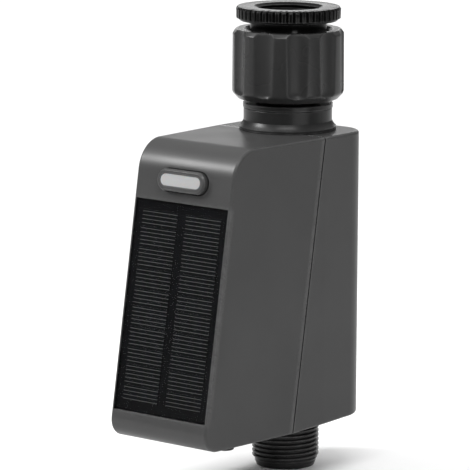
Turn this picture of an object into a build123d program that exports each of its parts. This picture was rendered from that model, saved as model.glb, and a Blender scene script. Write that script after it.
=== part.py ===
"""Drip irrigation timer: a battery and solar powered ball valve that hangs from a garden tap.

Millimetres. The origin is the centre of the inlet's sealing plane, where the tap's end face seals.
+Z is up along the inlet, the solar face looks to -Y and +X is the object's right side as seen from
behind the face. Heights named h are measured up from the housing's bottom plane.
"""
from build123d import *
import os
from math import acos, cos, pi, radians, sin, tan

os.makedirs("parts", exist_ok=True)

# ---- frame ----
SEAL_HEIGHT = 150.0  # inlet sealing plane above the housing's bottom plane

# ---- housing ----
LEAN = 9.4  # degrees the front face and the parting plane lean back
FRONT_Y = -79.1  # front face at the bottom plane
PARTING_Y = -28.6  # parting plane at the bottom plane
BACK_Y = 19.5
HOUSING_H = 114.1
FRONT_HALF = 24.0  # half width at the front face
PARTING_HALF = 26.7
BACK_HALF = 26.15
TAPER_Y = -9.5  # the rear shell starts to narrow here
TOP_R = 13.0
BOTTOM_R = 7.0
BACK_R = 12.0
BACK_RISE = 1.5  # the rear shell's bottom rises this much towards the back
EDGE_R = 1.1
WALL = 2.4
REAR_FLOOR_H = 3.4
GROOVE = 0.3  # half width and depth of the groove at the parting line
NECK_HOLE_R = 14.5
OUTLET_HOLE_R = 13.6

# ---- housing seal and screws ----
SEAL_INSET = 0.9
SEAL_WIDTH = 1.1
SEAL_DEPTH = 1.2
SCREW_X = 19.5
SCREW_HEIGHTS = (8.0, 104.0)
SCREW_R = 1.5
SCREW_HEAD_R = 2.75
SCREW_HEAD_H = 2.2
BOSS_R = 4.2

# ---- solar panel, on the front face: u across, v up the face, d into the housing ----
PANEL_HALF = 22.9
PANEL_V = (11.4, 93.4)
POCKET_D = 1.9
POCKET_FLOOR = 1.6
COVER_D = (0.35, 0.85)
CELLS_D = (0.9, 1.1)
BACKSHEET_D = (1.15, 1.85)
CELL_U = (1.9, 19.7)
CELL_MARGIN = 4.6
CELL_ROWS = 10
CELL_GAP = 0.5

# ---- button ----
BUTTON_V = 101.8
BUTTON_SIZE = (23.7, 8.5)
BUTTON_PROUD = 2.6
BUTTON_GAP = 0.3
FLANGE_GROW = 1.8
LENS_SIZE = (19.7, 4.6)
PLUNGER_R = 1.7

# ---- boards and battery ----
BOARD_D = (9.0, 10.6)
BOARD_HALF = 19.5
BOARD_V = (8.0, 108.0)
BOARD_SCREWS = ((-16.0, 20.0), (16.0, 20.0), (-16.0, 88.0), (16.0, 88.0))
CELL_R = 9.2
CELL_LENGTH = 65.0
CELL_V0 = 42.0
CELL_DEPTH = 21.1
PORT_X = 14.0
PORT_Y = -58.0

# ---- water path ----
BALL_H = 62.0
BALL_R = 11.0
BALL_BORE_R = 6.5
CHAMBER_R = 16.2
CHAMBER_BORE_R = 12.6
CHAMBER_TOP = 75.9
SEAT_CLEARANCE = 0.08
TUBE_R = 12.0
JOINT_H = 46.0  # face between valve body and outlet fitting
OUTLET_BORE_R = 8.5
OUTLET_END_H = -20.5
THREAD_PITCH = 1.814  # 3/4 inch pipe thread
THREAD_CREST_R = 13.22
THREAD_ROOT_R = 12.06
OUTLET_THREAD_H = (-18.1, -1.4)
OUTLET_LEAD_R = 11.4  # radius at the tip of the tapered lead-in
OUTLET_SHOULDER_H = (4.3, 6.3)
JOINT_SCREW_R = 14.3  # circle of the four screws between valve body and outlet fitting

# ---- neck, swivel nut and reducer ----
NECK_R = 17.35
FLANGE_R = 19.0
FLANGE_TOP_H = 115.4
FLARE_H = 2.4
SPIGOT_R = 12.6
SPIGOT_TOP_H = 137.0
FILTER_BORE_R = 10.3
NUT_R = 21.9
NUT_H = (126.3, 153.5)
NUT_SCALLOPS = 10
NUT_SCALLOP_ANGLE = -41.4
NUT_WEB_H = (127.6, 131.6)
NUT_BORE_R = 16.35  # thread's mean radius, with clearance
REDUCER_BARREL_R = 16.0
REDUCER_UNDERCUT_R = 15.0
REDUCER_H = (139.7, 162.2)
COLLAR_R = 20.5
COLLAR_H = (156.8, 162.2)
KNURLS = 48

# ---- drive ----
DRIVE_MODULE = 0.8
OUTPUT_TEETH = 40
IDLER_SMALL_TEETH = 12
FAST_MODULE = 0.6
IDLER_LARGE_TEETH = 36
PINION_TEETH = 12
MESH_PLAY = 0.12  # added to each centre distance
IDLER_H = BALL_H - DRIVE_MODULE * (OUTPUT_TEETH + IDLER_SMALL_TEETH) / 2 - MESH_PLAY
PINION_H = IDLER_H - FAST_MODULE * (IDLER_LARGE_TEETH + PINION_TEETH) / 2 - MESH_PLAY
STEM_R = 3.0
BASE_Y = (-22.0, -20.2)
SLOW_GEAR_Y = (-27.6, -23.2)
FAST_GEAR_Y = (-31.5, -28.3)
COVER_Y = (-34.5, -32.6)
MOTOR_Y = (-58.5, -43.6)
COLUMNS = ((-18.2, 75.5), (18.2, 75.5), (-18.2, 19.0), (18.2, 19.0))
BASE_SCREWS = ((-13.6, 50.5), (13.6, 50.5), (-13.6, 73.5), (13.6, 73.5))

LEAN_COS = cos(radians(LEAN))
LEAN_SIN = sin(radians(LEAN))
LEAN_TAN = tan(radians(LEAN))
UPRIGHT = (Align.CENTER, Align.CENTER, Align.MIN)


# ---- helpers ----
def level(height):
    """Frame z of a height above the housing's bottom plane."""
    return height - SEAL_HEIGHT


FACE = Plane(
    origin=(0, FRONT_Y, level(0)),
    x_dir=(1, 0, 0),
    z_dir=(0, -LEAN_COS, LEAN_SIN),
)


def turned(points):
    """Solid of revolution about Z from (radius, height) points."""
    outline = [(radius, level(height)) for radius, height in points]
    return revolve(Plane.XZ * make_face(Polyline(*outline, close=True)), Axis.Z, 360)


def rod(radius, low_h, high_h, x=0.0, y=0.0):
    """Vertical cylinder between two heights."""
    return Pos(x, y, level(low_h)) * Cylinder(radius, high_h - low_h, align=UPRIGHT)


def tube(outer, inner, low_h, high_h, x=0.0, y=0.0):
    """Vertical tube between two heights."""
    return rod(outer, low_h, high_h, x, y) - rod(inner, low_h - 1, high_h + 1, x, y)


def pin(radius, y0, y1, x, h):
    """Cylinder along Y from y0 to y1 (y0 < y1)."""
    place = Plane(origin=(x, y0, level(h)), x_dir=(1, 0, 0), z_dir=(0, 1, 0))
    return place * Cylinder(radius, y1 - y0, align=UPRIGHT)


def block(x0, x1, y0, y1, h0, h1):
    """Upright box between limits."""
    centre = ((x0 + x1) / 2, (y0 + y1) / 2, level((h0 + h1) / 2))
    return Pos(*centre) * Box(x1 - x0, y1 - y0, h1 - h0)


def face_block(u0, u1, v0, v1, d0, d1):
    """Box square to the front face, between depths d0 and d1 under it."""
    place = FACE * Pos((u0 + u1) / 2, (v0 + v1) / 2, -(d0 + d1) / 2)
    return place * Box(u1 - u0, v1 - v0, d1 - d0)


def face_rod(radius, u, v, d0, d1):
    """Cylinder square to the front face, between depths d0 and d1."""
    return FACE * Pos(u, v, -d1) * Cylinder(radius, d1 - d0, align=UPRIGHT)


def face_pill(length, width, v, d0, d1):
    """Pill-shaped prism square to the front face, centred across it."""
    outline = SlotOverall(length, width)
    return FACE * Pos(0, v, -d1) * extrude(outline, d1 - d0)


def joined(pieces):
    """One solid from overlapping pieces."""
    whole = pieces[0]
    for piece in pieces[1:]:
        whole += piece
    return whole


# ---- outer forms of the two shells ----
def front_form(inset=0.0, edge=0.0):
    """Front shell's solid outline, every outer face moved in by inset."""
    low, high = inset, HOUSING_H - inset
    face_y = FRONT_Y + inset / LEAN_COS
    side = Polyline(
        (face_y + low * LEAN_TAN, level(low)),
        (face_y + high * LEAN_TAN, level(high)),
        (PARTING_Y + high * LEAN_TAN, level(high)),
        (PARTING_Y + low * LEAN_TAN, level(low)),
        close=True,
    )
    profile = make_face(side)
    for height, radius in ((low, BOTTOM_R - inset), (high, TOP_R - inset)):
        corners = profile.vertices().filter_by_position(Axis.Y, level(height) - 0.01, level(height) + 0.01)
        profile = fillet(corners.sort_by(Axis.X)[0], radius)
    slab = extrude(Plane.YZ * profile, 40, both=True)
    depth = (PARTING_Y - FRONT_Y) * LEAN_COS
    slope = (PARTING_HALF - FRONT_HALF) / depth
    narrow = FRONT_HALF - inset
    wide = narrow + slope * (depth + 10)
    plan = make_face(
        Polyline((-narrow, 0), (narrow, 0), (wide, depth + 10), (-wide, depth + 10), close=True)
    )
    along = Plane(origin=FACE.origin, x_dir=(1, 0, 0), z_dir=(0, LEAN_SIN, LEAN_COS))
    form = slab & (along * Pos(0, 0, -40) * extrude(plan, 220))
    if edge:
        form = fillet(outer_rim(form), edge)
    return form


def parting_offset(point):
    """Distance of a point behind the parting plane."""
    return (point.Y - PARTING_Y) * LEAN_COS - (point.Z - level(0)) * LEAN_SIN


def outer_rim(form):
    """Edges round the sides of a form, away from its parting plane."""
    rim = []
    for edge in form.edges():
        middle = edge.position_at(0.5)
        if abs(middle.X) > FRONT_HALF / 2 and abs(parting_offset(middle)) > 1.0:
            rim.append(edge)
    return rim


def rear_form(inset=0.0, edge=0.0, floor_h=None):
    """Rear shell's solid outline behind the parting plane, outer faces moved in by inset."""
    half, end, back = PARTING_HALF - inset, BACK_HALF - inset, BACK_Y - inset
    plan = make_face(
        Polyline(
            (-half, -60), (half, -60), (half, TAPER_Y), (end, back), (-end, back), (-half, TAPER_Y),
            close=True,
        )
    )
    corners = plan.vertices().filter_by_position(Axis.Y, back - 0.01, back + 0.01)
    plan = fillet(corners, BACK_R - inset)
    low = inset if floor_h is None else floor_h
    form = Pos(0, 0, level(low)) * extrude(plan, HOUSING_H - inset - low)
    form -= ahead_of_parting()
    if floor_h is None:
        reach = BACK_Y + 5
        rise = BACK_RISE * (reach - PARTING_Y) / (BACK_Y - PARTING_Y)
        wedge = make_face(
            Polyline((PARTING_Y, level(low)), (reach, level(low)), (reach, level(low + rise)), close=True)
        )
        form -= extrude(Plane.YZ * wedge, 40, both=True)
    if edge:
        rim = []
        for side in form.edges():
            middle = side.position_at(0.5)
            level_edge = middle.Z < level(BACK_RISE + 1) or middle.Z > level(HOUSING_H - 1)
            if level_edge and abs(parting_offset(middle)) > 1.0:
                rim.append(side)
        form = fillet(rim, edge)
    return form


def ahead_of_parting():
    """Half space in front of the parting plane."""
    place = Plane(origin=(0, PARTING_Y, level(0)), x_dir=(1, 0, 0), z_dir=(0, -LEAN_COS, LEAN_SIN))
    return place * Box(400, 600, 300, align=UPRIGHT)


def parting_slab(ahead, behind):
    """Slab round the parting plane."""
    place = Plane(origin=(0, PARTING_Y, level(0)), x_dir=(1, 0, 0), z_dir=(0, -LEAN_COS, LEAN_SIN))
    return place * Pos(0, 0, -behind) * Box(400, 600, ahead + behind, align=UPRIGHT)


def parting_y(h):
    """Y of the parting plane at a height."""
    return PARTING_Y + h * LEAN_TAN


# ---- housing ----
def seal_path(grow=0.0):
    """Ring that the housing seal fills, in the front shell's rim."""
    ring = front_form(SEAL_INSET - grow) - front_form(SEAL_INSET + SEAL_WIDTH + grow)
    return ring & parting_slab(SEAL_DEPTH + grow, 0)


def front_housing():
    """Front shell with the panel pocket, button opening and bosses."""
    form = front_form(0, EDGE_R)
    shell = form - front_form(WALL)
    floor = face_block(-PANEL_HALF - 1, PANEL_HALF + 1, PANEL_V[0] - 2, PANEL_V[1] + 1.5,
                       0.5, POCKET_D + POCKET_FLOOR)
    shell += floor & front_form(0.5)
    shell -= face_block(-PANEL_HALF, PANEL_HALF, *PANEL_V, -5, POCKET_D)
    collar = face_pill(BUTTON_SIZE[0] + 5.4, BUTTON_SIZE[1] + 5.4, BUTTON_V, 2.0, 4.9)
    collar -= face_pill(BUTTON_SIZE[0] + 2.6, BUTTON_SIZE[1] + 2.6, BUTTON_V, 1.0, 6.0)
    shell += collar & front_form(0.5)
    shell -= face_pill(BUTTON_SIZE[0] + 2.6, BUTTON_SIZE[1] + 2.6, BUTTON_V, WALL, 6.0)
    shell -= face_pill(BUTTON_SIZE[0] + 2 * BUTTON_GAP, BUTTON_SIZE[1] + 2 * BUTTON_GAP, BUTTON_V, -5, 6)
    for u, v in BOARD_SCREWS:
        shell += face_rod(3.0, u, v, POCKET_D + 1, BOARD_D[0])
        shell -= face_rod(1.1, u, v, POCKET_D + POCKET_FLOOR, BOARD_D[0] + 1)
    for u in (-3.0, 3.0):
        shell -= face_rod(0.8, u, 50.0, 0, 6)
    for h in SCREW_HEIGHTS:
        for side in (-1, 1):
            x = side * SCREW_X
            y = parting_y(h)
            boss = pin(BOSS_R, y - 14, y + 3, x, h)
            boss += block(min(x, x + side * 6), max(x, x + side * 6), y - 14, y + 3, h - 1, h + 1)
            shell += (boss & front_form(0.6))
            shell -= pin(SCREW_R + 0.05, y - 12, y + 3, x, h)
    shell -= seal_path(0.05)
    shell -= rod(NECK_HOLE_R, 100, 120)
    shell -= (parting_slab(GROOVE, 0) & (front_form(-2) - front_form(GROOVE)))
    slot = SlotOverall(12.0, 6.0)
    shell -= Pos(PORT_X, PORT_Y, level(-2)) * extrude(slot, 6)
    return shell


def rear_housing():
    """Rear shell with the screw wells, the neck notch and the outlet hole."""
    form = rear_form(0, EDGE_R)
    shell = form - rear_form(WALL, 0, REAR_FLOOR_H)
    for h in SCREW_HEIGHTS:
        for side in (-1, 1):
            x = side * SCREW_X
            y = parting_y(h)
            boss = pin(BOSS_R, y - 3, BACK_Y - 1, x, h)
            boss += block(min(x, x + side * 6), max(x, x + side * 6), y - 3, y + 12, h - 1, h + 1)
            shell += boss & rear_form(0.6)
            shell -= pin(SCREW_R + 0.15, y - 3, BACK_Y, x, h)
            shell -= pin(SCREW_HEAD_R + 0.35, y + 4, BACK_Y + 1, x, h)
    shell -= rod(NECK_HOLE_R, 100, 120)
    shell -= rod(OUTLET_HOLE_R, -5, 10)
    shell -= (parting_slab(0, GROOVE) & (rear_form(-2) + front_form(-2) - rear_form(GROOVE)))
    return shell


def housing_seal():
    """Rubber seal in the rim, open where the neck passes."""
    return seal_path() - rod(NECK_HOLE_R, 100, 120)


def recessed_screw(x, y_seat, h, reach):
    """Pan-head screw along Y, head behind y_seat, with a cross recess."""
    screw = pin(SCREW_HEAD_R, y_seat, y_seat + SCREW_HEAD_H, x, h)
    screw += pin(SCREW_R, y_seat - reach, y_seat + 0.5, x, h)
    tip = y_seat + SCREW_HEAD_H
    screw -= block(x - 1.6, x + 1.6, tip - 1.2, tip + 1, h - 0.35, h + 0.35)
    screw -= block(x - 0.35, x + 0.35, tip - 1.2, tip + 1, h - 1.6, h + 1.6)
    return screw


def housing_screws():
    """Four screws from the back that close the shells."""
    screws = []
    for h in SCREW_HEIGHTS:
        for side in (-1, 1):
            screws.append(recessed_screw(side * SCREW_X, parting_y(h) + 4, h, 14.5))
    return Compound(children=screws)


# ---- solar panel ----
def solar_cover():
    """Clear sheet over the cells."""
    return face_block(0.1 - PANEL_HALF, PANEL_HALF - 0.1, PANEL_V[0] + 0.1, PANEL_V[1] - 0.1, *COVER_D)


def solar_backsheet():
    """Board that carries the cells."""
    return face_block(0.1 - PANEL_HALF, PANEL_HALF - 0.1, PANEL_V[0] + 0.1, PANEL_V[1] - 0.1, *BACKSHEET_D)


def solar_cells():
    """Two columns of cell strips."""
    low, high = PANEL_V[0] + CELL_MARGIN, PANEL_V[1] - CELL_MARGIN
    pitch = (high - low) / CELL_ROWS
    cells = []
    for row in range(CELL_ROWS):
        v0 = low + row * pitch + CELL_GAP / 2
        v1 = low + (row + 1) * pitch - CELL_GAP / 2
        cells.append(face_block(-CELL_U[1], -CELL_U[0], v0, v1, *CELLS_D))
        cells.append(face_block(CELL_U[0], CELL_U[1], v0, v1, *CELLS_D))
    return Compound(children=cells)


def solar_leads():
    """Two wires from the panel to the main board."""
    wires = [face_rod(0.5, u, 50.0, BACKSHEET_D[1], BOARD_D[0]) for u in (-3.0, 3.0)]
    return Compound(children=wires)


# ---- button ----
def button_cap():
    """Oval cap with a window slot, a holding flange and a push stem."""
    cap = face_pill(*BUTTON_SIZE, BUTTON_V, -BUTTON_PROUD, 3.0)
    front = cap.faces().sort_by(Axis((0, 0, 0), (0, -LEAN_COS, LEAN_SIN)))[-1]
    cap = chamfer(front.edges(), 0.7)
    cap += face_pill(BUTTON_SIZE[0] + FLANGE_GROW, BUTTON_SIZE[1] + FLANGE_GROW, BUTTON_V, 2.5, 3.5)
    cap -= face_pill(LENS_SIZE[0] + 0.1, LENS_SIZE[1] + 0.1, BUTTON_V, -BUTTON_PROUD - 1, 2.4)
    cap += face_rod(2.0, 0, BUTTON_V, 2.5, 4.6)
    for u in (-7.0, 7.0):
        cap -= face_rod(1.8, u, BUTTON_V, 2.0, 4.0)
    return cap


def button_lens():
    """White light window in the cap."""
    lens = face_pill(*LENS_SIZE, BUTTON_V, 0.15 - BUTTON_PROUD, 2.35)
    return lens


def button_seal():
    """Silicone sheet behind the button, with a hole for the stem."""
    sheet = face_pill(BUTTON_SIZE[0] + 4.6, BUTTON_SIZE[1] + 4.6, BUTTON_V, 4.95, 5.5)
    return sheet - face_rod(2.2, 0, BUTTON_V, 4, 7)


def tact_switch():
    """Push switch body on the board."""
    body = face_block(-3.0, 3.0, BUTTON_V - 3.0, BUTTON_V + 3.0, 5.6, BOARD_D[0])
    return body - face_rod(PLUNGER_R + 0.1, 0, BUTTON_V, 5.0, 7.4)


def tact_plunger():
    """Switch plunger under the button's stem."""
    return face_rod(PLUNGER_R, 0, BUTTON_V, 4.6, 6.2)


def status_leds():
    """Two surface lights under the window."""
    lights = [
        face_block(u - 1.75, u + 1.75, BUTTON_V - 1.4, BUTTON_V + 1.4, 7.2, BOARD_D[0])
        for u in (-7.0, 7.0)
    ]
    return Compound(children=lights)


# ---- electronics ----
def main_pcb():
    """Main board behind the solar face."""
    board = face_block(-BOARD_HALF, BOARD_HALF, *BOARD_V, *BOARD_D)
    for u, v in BOARD_SCREWS:
        board -= face_rod(1.4, u, v, 8, 12)
    return board


def pcb_screws():
    """Four screws that hold the main board."""
    screws = []
    for u, v in BOARD_SCREWS:
        screw = face_rod(1.05, u, v, BOARD_D[0] - 4.5, BOARD_D[1] + 0.5)
        screw += face_rod(2.3, u, v, BOARD_D[1], BOARD_D[1] + 1.6)
        screw -= face_block(u - 1.3, u + 1.3, v - 0.3, v + 0.3, BOARD_D[1] + 0.9, BOARD_D[1] + 2)
        screws.append(screw)
    return Compound(children=screws)


def radio_module():
    """Radio board with its shield can, on the front side of the main board."""
    board = face_block(-17.0, 1.0, 66.0, 84.0, 8.0, BOARD_D[0])
    return board + face_block(-16.0, 0.0, 66.8, 79.0, 6.0, 8.1)


def pcb_components():
    """Controller, charger, coils and capacitors on the main board."""
    chips = [
        face_block(-5.0, 5.0, 30.0, 40.0, 7.8, BOARD_D[0]),
        face_block(8.0, 13.0, 56.0, 62.0, 7.5, BOARD_D[0]),
        face_block(-15.0, -10.0, 34.0, 39.0, 6.6, BOARD_D[0]),
        face_block(7.0, 11.0, 40.0, 48.0, 8.0, BOARD_D[0]),
    ]
    for v in (28.0, 33.0, 38.0):
        chips.append(face_block(13.0, 16.0, v - 1.0, v + 1.0, 8.0, BOARD_D[0]))
    chips.append(face_rod(3.1, 12.5, 70.0, 5.0, BOARD_D[0]))
    chips.append(face_rod(3.1, 12.5, 79.0, 5.0, BOARD_D[0]))
    return Compound(children=chips)


def battery_cell():
    """Rechargeable cell, lying parallel to the front face."""
    place = FACE * Pos(0, CELL_V0, -CELL_DEPTH) * Rot(-90, 0, 0)
    cell = place * Cylinder(CELL_R, CELL_LENGTH - 1.2, align=UPRIGHT)
    cap = place * Pos(0, 0, CELL_LENGTH - 2) * Cylinder(3.2, 2, align=UPRIGHT)
    return cell + cap


def battery_holder():
    """Open trough with end walls, on the back of the main board."""
    low, high = CELL_V0 - 3.4, CELL_V0 + CELL_LENGTH + 3.0
    back = CELL_DEPTH + 3.0
    holder = face_block(-10.9, 10.9, low, high, BOARD_D[1], back)
    place = FACE * Pos(0, CELL_V0 - 2.0, -CELL_DEPTH) * Rot(-90, 0, 0)
    holder -= place * Cylinder(CELL_R + 0.3, CELL_LENGTH + 3.6, align=UPRIGHT)
    holder -= face_block(-CELL_R - 0.3, CELL_R + 0.3, CELL_V0 - 2, CELL_V0 + CELL_LENGTH + 1.6,
                         CELL_DEPTH, back + 1)
    return holder


def battery_contacts():
    """Sprung negative contact and flat positive contact."""
    low = face_block(-4.0, 4.0, CELL_V0 - 1.9, CELL_V0 - 1.5, CELL_DEPTH - 5, CELL_DEPTH + 2.5)
    place = FACE * Pos(0, CELL_V0 - 1.6, -CELL_DEPTH) * Rot(-90, 0, 0)
    low += place * Cone(3.4, 1.6, 1.6, align=UPRIGHT)
    top = CELL_V0 + CELL_LENGTH
    high = face_block(-4.0, 4.0, top + 0.05, top + 0.5, CELL_DEPTH - 5, CELL_DEPTH + 2.5)
    return Compound(children=[low, high])


def usb_board():
    """Small level board that carries the charging socket."""
    return block(PORT_X - 7.5, PORT_X + 7.0, PORT_Y - 5.5, PORT_Y + 6, 10.2, 11.4)


def usb_socket():
    """Charging socket, mouth down."""
    shell = block(PORT_X - 4.47, PORT_X + 4.47, PORT_Y - 1.6, PORT_Y + 1.6, 3.2, 10.2)
    shell -= block(PORT_X - 4.15, PORT_X + 4.15, PORT_Y - 1.3, PORT_Y + 1.3, 2, 9.2)
    return shell + block(PORT_X - 3.3, PORT_X + 3.3, PORT_Y - 0.3, PORT_Y + 0.3, 5.2, 9.6)


def port_plug():
    """Rubber plug over the charging socket, with a finger lip."""
    head = Pos(PORT_X, PORT_Y, level(-2.2)) * extrude(SlotOverall(13.2, 7.2), 2.1)
    head = fillet(head.faces().sort_by(Axis.Z)[0].edges(), 0.7)
    neck = Pos(PORT_X, PORT_Y, level(-0.3)) * extrude(SlotOverall(11.4, 5.4), 3.3)
    lip = block(PORT_X - 3.2, PORT_X + 3.2, PORT_Y - 0.95, PORT_Y + 0.95, 2.6, 4.6)
    return head + neck + lip


def motor_leads():
    """Two wires from the motor's tail to the main board."""
    board_y = FRONT_Y + PINION_H * LEAN_TAN + BOARD_D[1] / LEAN_COS
    wires = [pin(0.6, board_y + 0.2, MOTOR_Y[0], x, PINION_H) for x in (-3.0, 3.0)]
    return Compound(children=wires)


def sensor_leads():
    """Three wires from the sensor board to the main board, past the battery."""
    wires = []
    for h in (69.0, 71.0, 73.0):
        board_y = FRONT_Y + h * LEAN_TAN + BOARD_D[1] / LEAN_COS
        wires.append(pin(0.5, board_y + 0.2, COVER_Y[1] + 0.03, 13.4, h))
    return Compound(children=wires)


# ---- inlet, nut and reducer ----
def ring_grooves(low_h, high_h, crest_r, root_r, inside):
    """Parallel V-grooves at the thread's pitch, to cut into a wall."""
    cuts = []
    flank = THREAD_PITCH * 0.40
    count = int((high_h - low_h) / THREAD_PITCH)
    over = 0.4 if inside else -0.4
    for turn in range(count):
        middle = low_h + (turn + 0.5) * THREAD_PITCH
        wide = flank * (abs(crest_r - root_r) + 0.4) / abs(crest_r - root_r)
        far = crest_r - over
        outline = [
            (far, middle - wide), (root_r, middle - 0.12), (root_r, middle + 0.12), (far, middle + wide),
        ]
        cuts.append(turned(outline))
    return cuts


def reducer():
    """Threaded adapter: outside thread for the nut, inside thread for the tap, knurled collar."""
    low, high = REDUCER_H
    body = turned([
        (9.6, low), (REDUCER_BARREL_R - 0.9, low), (REDUCER_BARREL_R, low + 0.9),
        (REDUCER_BARREL_R, 152.4), (REDUCER_UNDERCUT_R, 153.4), (REDUCER_UNDERCUT_R, COLLAR_H[0]),
        (COLLAR_R - 0.5, COLLAR_H[0]), (COLLAR_R, COLLAR_H[0] + 0.5), (COLLAR_R, high - 0.6),
        (COLLAR_R - 0.6, high), (THREAD_CREST_R + 0.3, high), (THREAD_ROOT_R, high - 1.2),
        (THREAD_ROOT_R, SEAL_HEIGHT), (12.9, SEAL_HEIGHT), (12.9, SEAL_HEIGHT - 2.9),
        (9.6, SEAL_HEIGHT - 2.9),
    ])
    for groove in ring_grooves(SEAL_HEIGHT + 0.5, high - 1.2, THREAD_ROOT_R, THREAD_CREST_R, True):
        body -= groove
    notch_r = 0.62
    for tooth in range(KNURLS):
        turn = Rot(0, 0, (tooth + 0.5) * 360 / KNURLS)
        body -= turn * rod(notch_r, COLLAR_H[0] - 1, high + 1, COLLAR_R + 0.18)
    return body


def tap_washer():
    """Flat washer the tap's end face seals on."""
    return tube(12.7, 9.4, SEAL_HEIGHT - 2.85, SEAL_HEIGHT - 0.1)


def swivel_nut():
    """Nut that turns on the neck, ten finger scallops outside."""
    low, high = NUT_H
    body = turned([
        (NUT_BORE_R + 1.2, low + 0.0), (NUT_R - 1.2, low), (NUT_R, low + 1.6), (NUT_R - 0.1, high - 2.2),
        (NUT_R - 1.6, high), (NUT_BORE_R + 0.8, high), (NUT_BORE_R, high - 0.8), (NUT_BORE_R, NUT_WEB_H[1]),
        (SPIGOT_R + 0.08, NUT_WEB_H[1]), (SPIGOT_R + 0.08, NUT_WEB_H[0]), (NUT_BORE_R + 1.2, NUT_WEB_H[0]),
    ])
    scallop_r = 9.0
    depth = 1.35
    for scallop in range(NUT_SCALLOPS):
        turn = Rot(0, 0, NUT_SCALLOP_ANGLE + scallop * 360 / NUT_SCALLOPS)
        body -= turn * rod(scallop_r, low + 2.6, high + 1, NUT_R + scallop_r - depth)
    return body


def nut_ring():
    """Spring ring in the spigot's groove that keeps the nut on."""
    ring = tube(14.0, 11.45, 131.95, 133.15)
    return ring - block(9, 16, -1.6, 1.6, 131, 134)


def inlet_washer():
    """Washer between the reducer and the neck."""
    return tube(15.4, 9.4, SPIGOT_TOP_H + 0.06, REDUCER_H[0] - 0.02)


def inlet_filter_frame():
    """Basket frame: rim, four ribs and a bottom disc."""
    frame = tube(10.15, 8.9, 134.6, SPIGOT_TOP_H - 0.1)
    rib = turned([(8.9, 136.0), (10.0, 136.0), (5.6, 119.0), (4.6, 119.0)])
    cross = block(-12, 12, -0.7, 0.7, 110, 140) + block(-0.7, 0.7, -12, 12, 110, 140)
    frame += rib & cross
    return frame + rod(5.6, 118.2, 119.4)


def inlet_filter_mesh():
    """Fine mesh cone inside the frame."""
    return turned([(8.2, 136.6), (8.8, 136.6), (4.5, 119.45), (3.9, 119.45)])


def neck_seal():
    """Ring that seals the neck in the housing's top."""
    return tube(NECK_HOLE_R - 0.02, 12.7, 112.0, 113.6)


# ---- valve ----
def neck_flare():
    """Slightly hollow slope between the neck and its flange."""
    top_h = FLANGE_TOP_H + FLARE_H
    rim_r = FLANGE_R - 0.1
    curve = ThreePointArc(
        (NECK_R, level(top_h)),
        (NECK_R + 0.44 * (rim_r - NECK_R), level(FLANGE_TOP_H + 0.44 * FLARE_H)),
        (rim_r, level(FLANGE_TOP_H)),
    )
    walls = Polyline(curve @ 1, (NECK_R - 1, level(FLANGE_TOP_H)), (NECK_R - 1, level(top_h)), curve @ 0)
    return revolve(Plane.XZ * make_face([curve, walls]), Axis.Z, 360)


def valve_body():
    """Neck, clamp flanges, ball chamber and stem boss."""
    body = turned([
        (BALL_BORE_R, CHAMBER_TOP), (BALL_BORE_R, 115.0), (FILTER_BORE_R, 118.0),
        (FILTER_BORE_R, SPIGOT_TOP_H), (SPIGOT_R - 0.5, SPIGOT_TOP_H), (SPIGOT_R, SPIGOT_TOP_H - 0.5),
        (SPIGOT_R, 133.3), (11.3, 133.3),
        (11.3, 131.8), (SPIGOT_R, 131.8), (SPIGOT_R, 124.7), (17.3, 124.7), (17.6, 124.4), (17.6, 122.8),
        (17.1, 122.6), (NECK_R, 122.4), (NECK_R, FLANGE_TOP_H), (FLANGE_R, FLANGE_TOP_H), (FLANGE_R, 114.2),
        (14.3, 114.2),
        (14.3, 113.7), (12.6, 113.7), (12.6, 111.9), (14.3, 111.9), (14.3, 111.5), (16.8, 111.5),
        (16.8, 109.0), (TUBE_R, 107.0), (TUBE_R, 82.0), (CHAMBER_R, 79.5), (CHAMBER_R, JOINT_H),
        (CHAMBER_BORE_R, JOINT_H), (CHAMBER_BORE_R, CHAMBER_TOP),
    ])
    body += neck_flare()
    boss = pin(7.0, -20.0, -8.0, 0, BALL_H)
    for x, h in BASE_SCREWS:
        boss += pin(2.9, BASE_Y[1], -8.0, x, h)
    body += boss - rod(CHAMBER_BORE_R + 0.5, 40, 90)
    body -= pin(4.6, -13.8, -8.0, 0, BALL_H)
    body -= pin(STEM_R + 0.07, -25, -8.0, 0, BALL_H)
    body -= pin(4.5, -25, -16.1, 0, BALL_H)
    body -= pin(5.4, -25, -19.0, 0, BALL_H)
    for x, h in BASE_SCREWS:
        body -= pin(1.05, -25, -12.0, x, h)
    for place in joint_screw_places():
        body -= place * rod(1.05, JOINT_H - 1, JOINT_H + 9)
    return body


def joint_screw_places():
    """The four places of the screws between valve body and outlet fitting."""
    return [Rot(0, 0, 45 + 90 * screw) * Pos(JOINT_SCREW_R, 0, 0) for screw in range(4)]


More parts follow.
